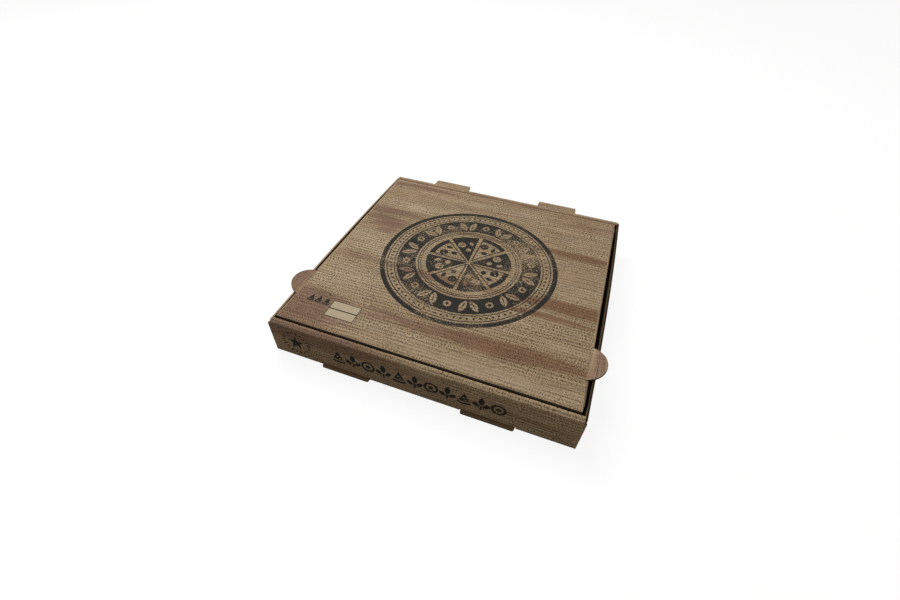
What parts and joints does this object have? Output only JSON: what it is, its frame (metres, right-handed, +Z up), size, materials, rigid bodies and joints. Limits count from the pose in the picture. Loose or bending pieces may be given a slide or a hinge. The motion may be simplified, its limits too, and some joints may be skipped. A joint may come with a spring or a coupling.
{
  "type": "pizza box",
  "caption": "Square corrugated card pizza box with a hinged lid, half-moon side ears and a rolled front wall.",
  "frame": {"origin": "centre of the tray's underside, on the surface that the box stands on", "axes": "+Z up, the rolled front wall towards -Y, the lid's crease along X at the back, +X to the right seen from the front"},
  "size_m": [0.2838, 0.277, 0.0403],
  "materials": {
    "printed_board": "matt brown corrugated board with a wood grain print outside and plain kraft inside",
    "dark_ink": "matt dark ink, worn through in specks",
    "pale_ink": "matt pale writing field"
  },
  "bodies": {
    "tray": {"tray": "printed_board"},
    "lid": {"lid": "printed_board"}
  },
  "joints": [
    {"name": "lid_hinge", "type": "hinge", "parent": "tray", "child": "lid", "pos_m": [0, 0.12635, 0.038], "axis": [-1, 0, 0], "range_deg": [0, 178]}
  ]
}
